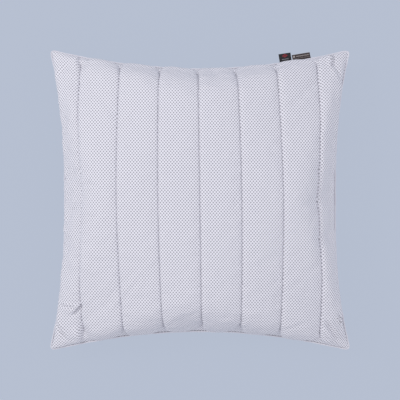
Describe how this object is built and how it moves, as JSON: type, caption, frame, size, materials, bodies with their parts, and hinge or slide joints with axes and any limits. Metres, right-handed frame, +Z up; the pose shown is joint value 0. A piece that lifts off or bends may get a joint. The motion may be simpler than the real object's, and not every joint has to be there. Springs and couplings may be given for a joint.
{
  "type": "bed pillow",
  "caption": "Square stuffed bed pillow with channel-quilted dotted cotton panels, slim piping round the edge, and woven labels standing out of one seam.",
  "frame": {"origin": "under the middle of the pillow, on the surface that its back panel lies on", "axes": "+X across the quilted channels, +Y along them towards the seam with the labels, +Z up, out of the front panel"},
  "size_m": [0.679, 0.679, 0.1928],
  "materials": {
    "face_cloth": "matte",
    "wadding": "matte",
    "lining": "matte",
    "filling": "matte",
    "thread": "matte",
    "piping": "matte",
    "cord": "matte",
    "label_black": "matte",
    "label_brown": "matte"
  },
  "bodies": {
    "pillow": {"front_face_cloth": "face_cloth", "front_wadding": "wadding", "front_lining": "lining", "back_face_cloth": "face_cloth", "back_wadding": "wadding", "back_lining": "lining", "fibre_filling": "filling", "front_quilting_row_1": "thread", "front_quilting_row_2": "thread", "front_quilting_row_3": "thread", "front_quilting_row_4": "thread", "front_quilting_row_5": "thread", "front_quilting_row_6": "thread", "front_quilting_row_7": "thread", "back_quilting_row_1": "thread", "back_quilting_row_2": "thread", "back_quilting_row_3": "thread", "back_quilting_row_4": "thread", "back_quilting_row_5": "thread", "back_quilting_row_6": "thread", "back_quilting_row_7": "thread", "piping_tape": "piping", "piping_cord": "cord", "edge_overlock_thread": "thread", "closing_seam_thread": "thread"},
    "square_label": {"square_label": "label_black"},
    "strip_label": {"strip_label": "label_brown"}
  },
  "joints": [
    {"name": "square_label_flap", "type": "hinge", "parent": "pillow", "child": "square_label", "pos_m": [0.19136, 0.30979, 0.08453], "axis": [0.9872, 0.1483, -0.059], "range_deg": [-80, 80], "stiffness_Nm_per_rad": 0.0005},
    {"name": "strip_label_flap", "type": "hinge", "parent": "pillow", "child": "strip_label", "pos_m": [0.2274, 0.31572, 0.08183], "axis": [0.9804, 0.1751, -0.0908], "range_deg": [-80, 80], "stiffness_Nm_per_rad": 0.0005}
  ]
}
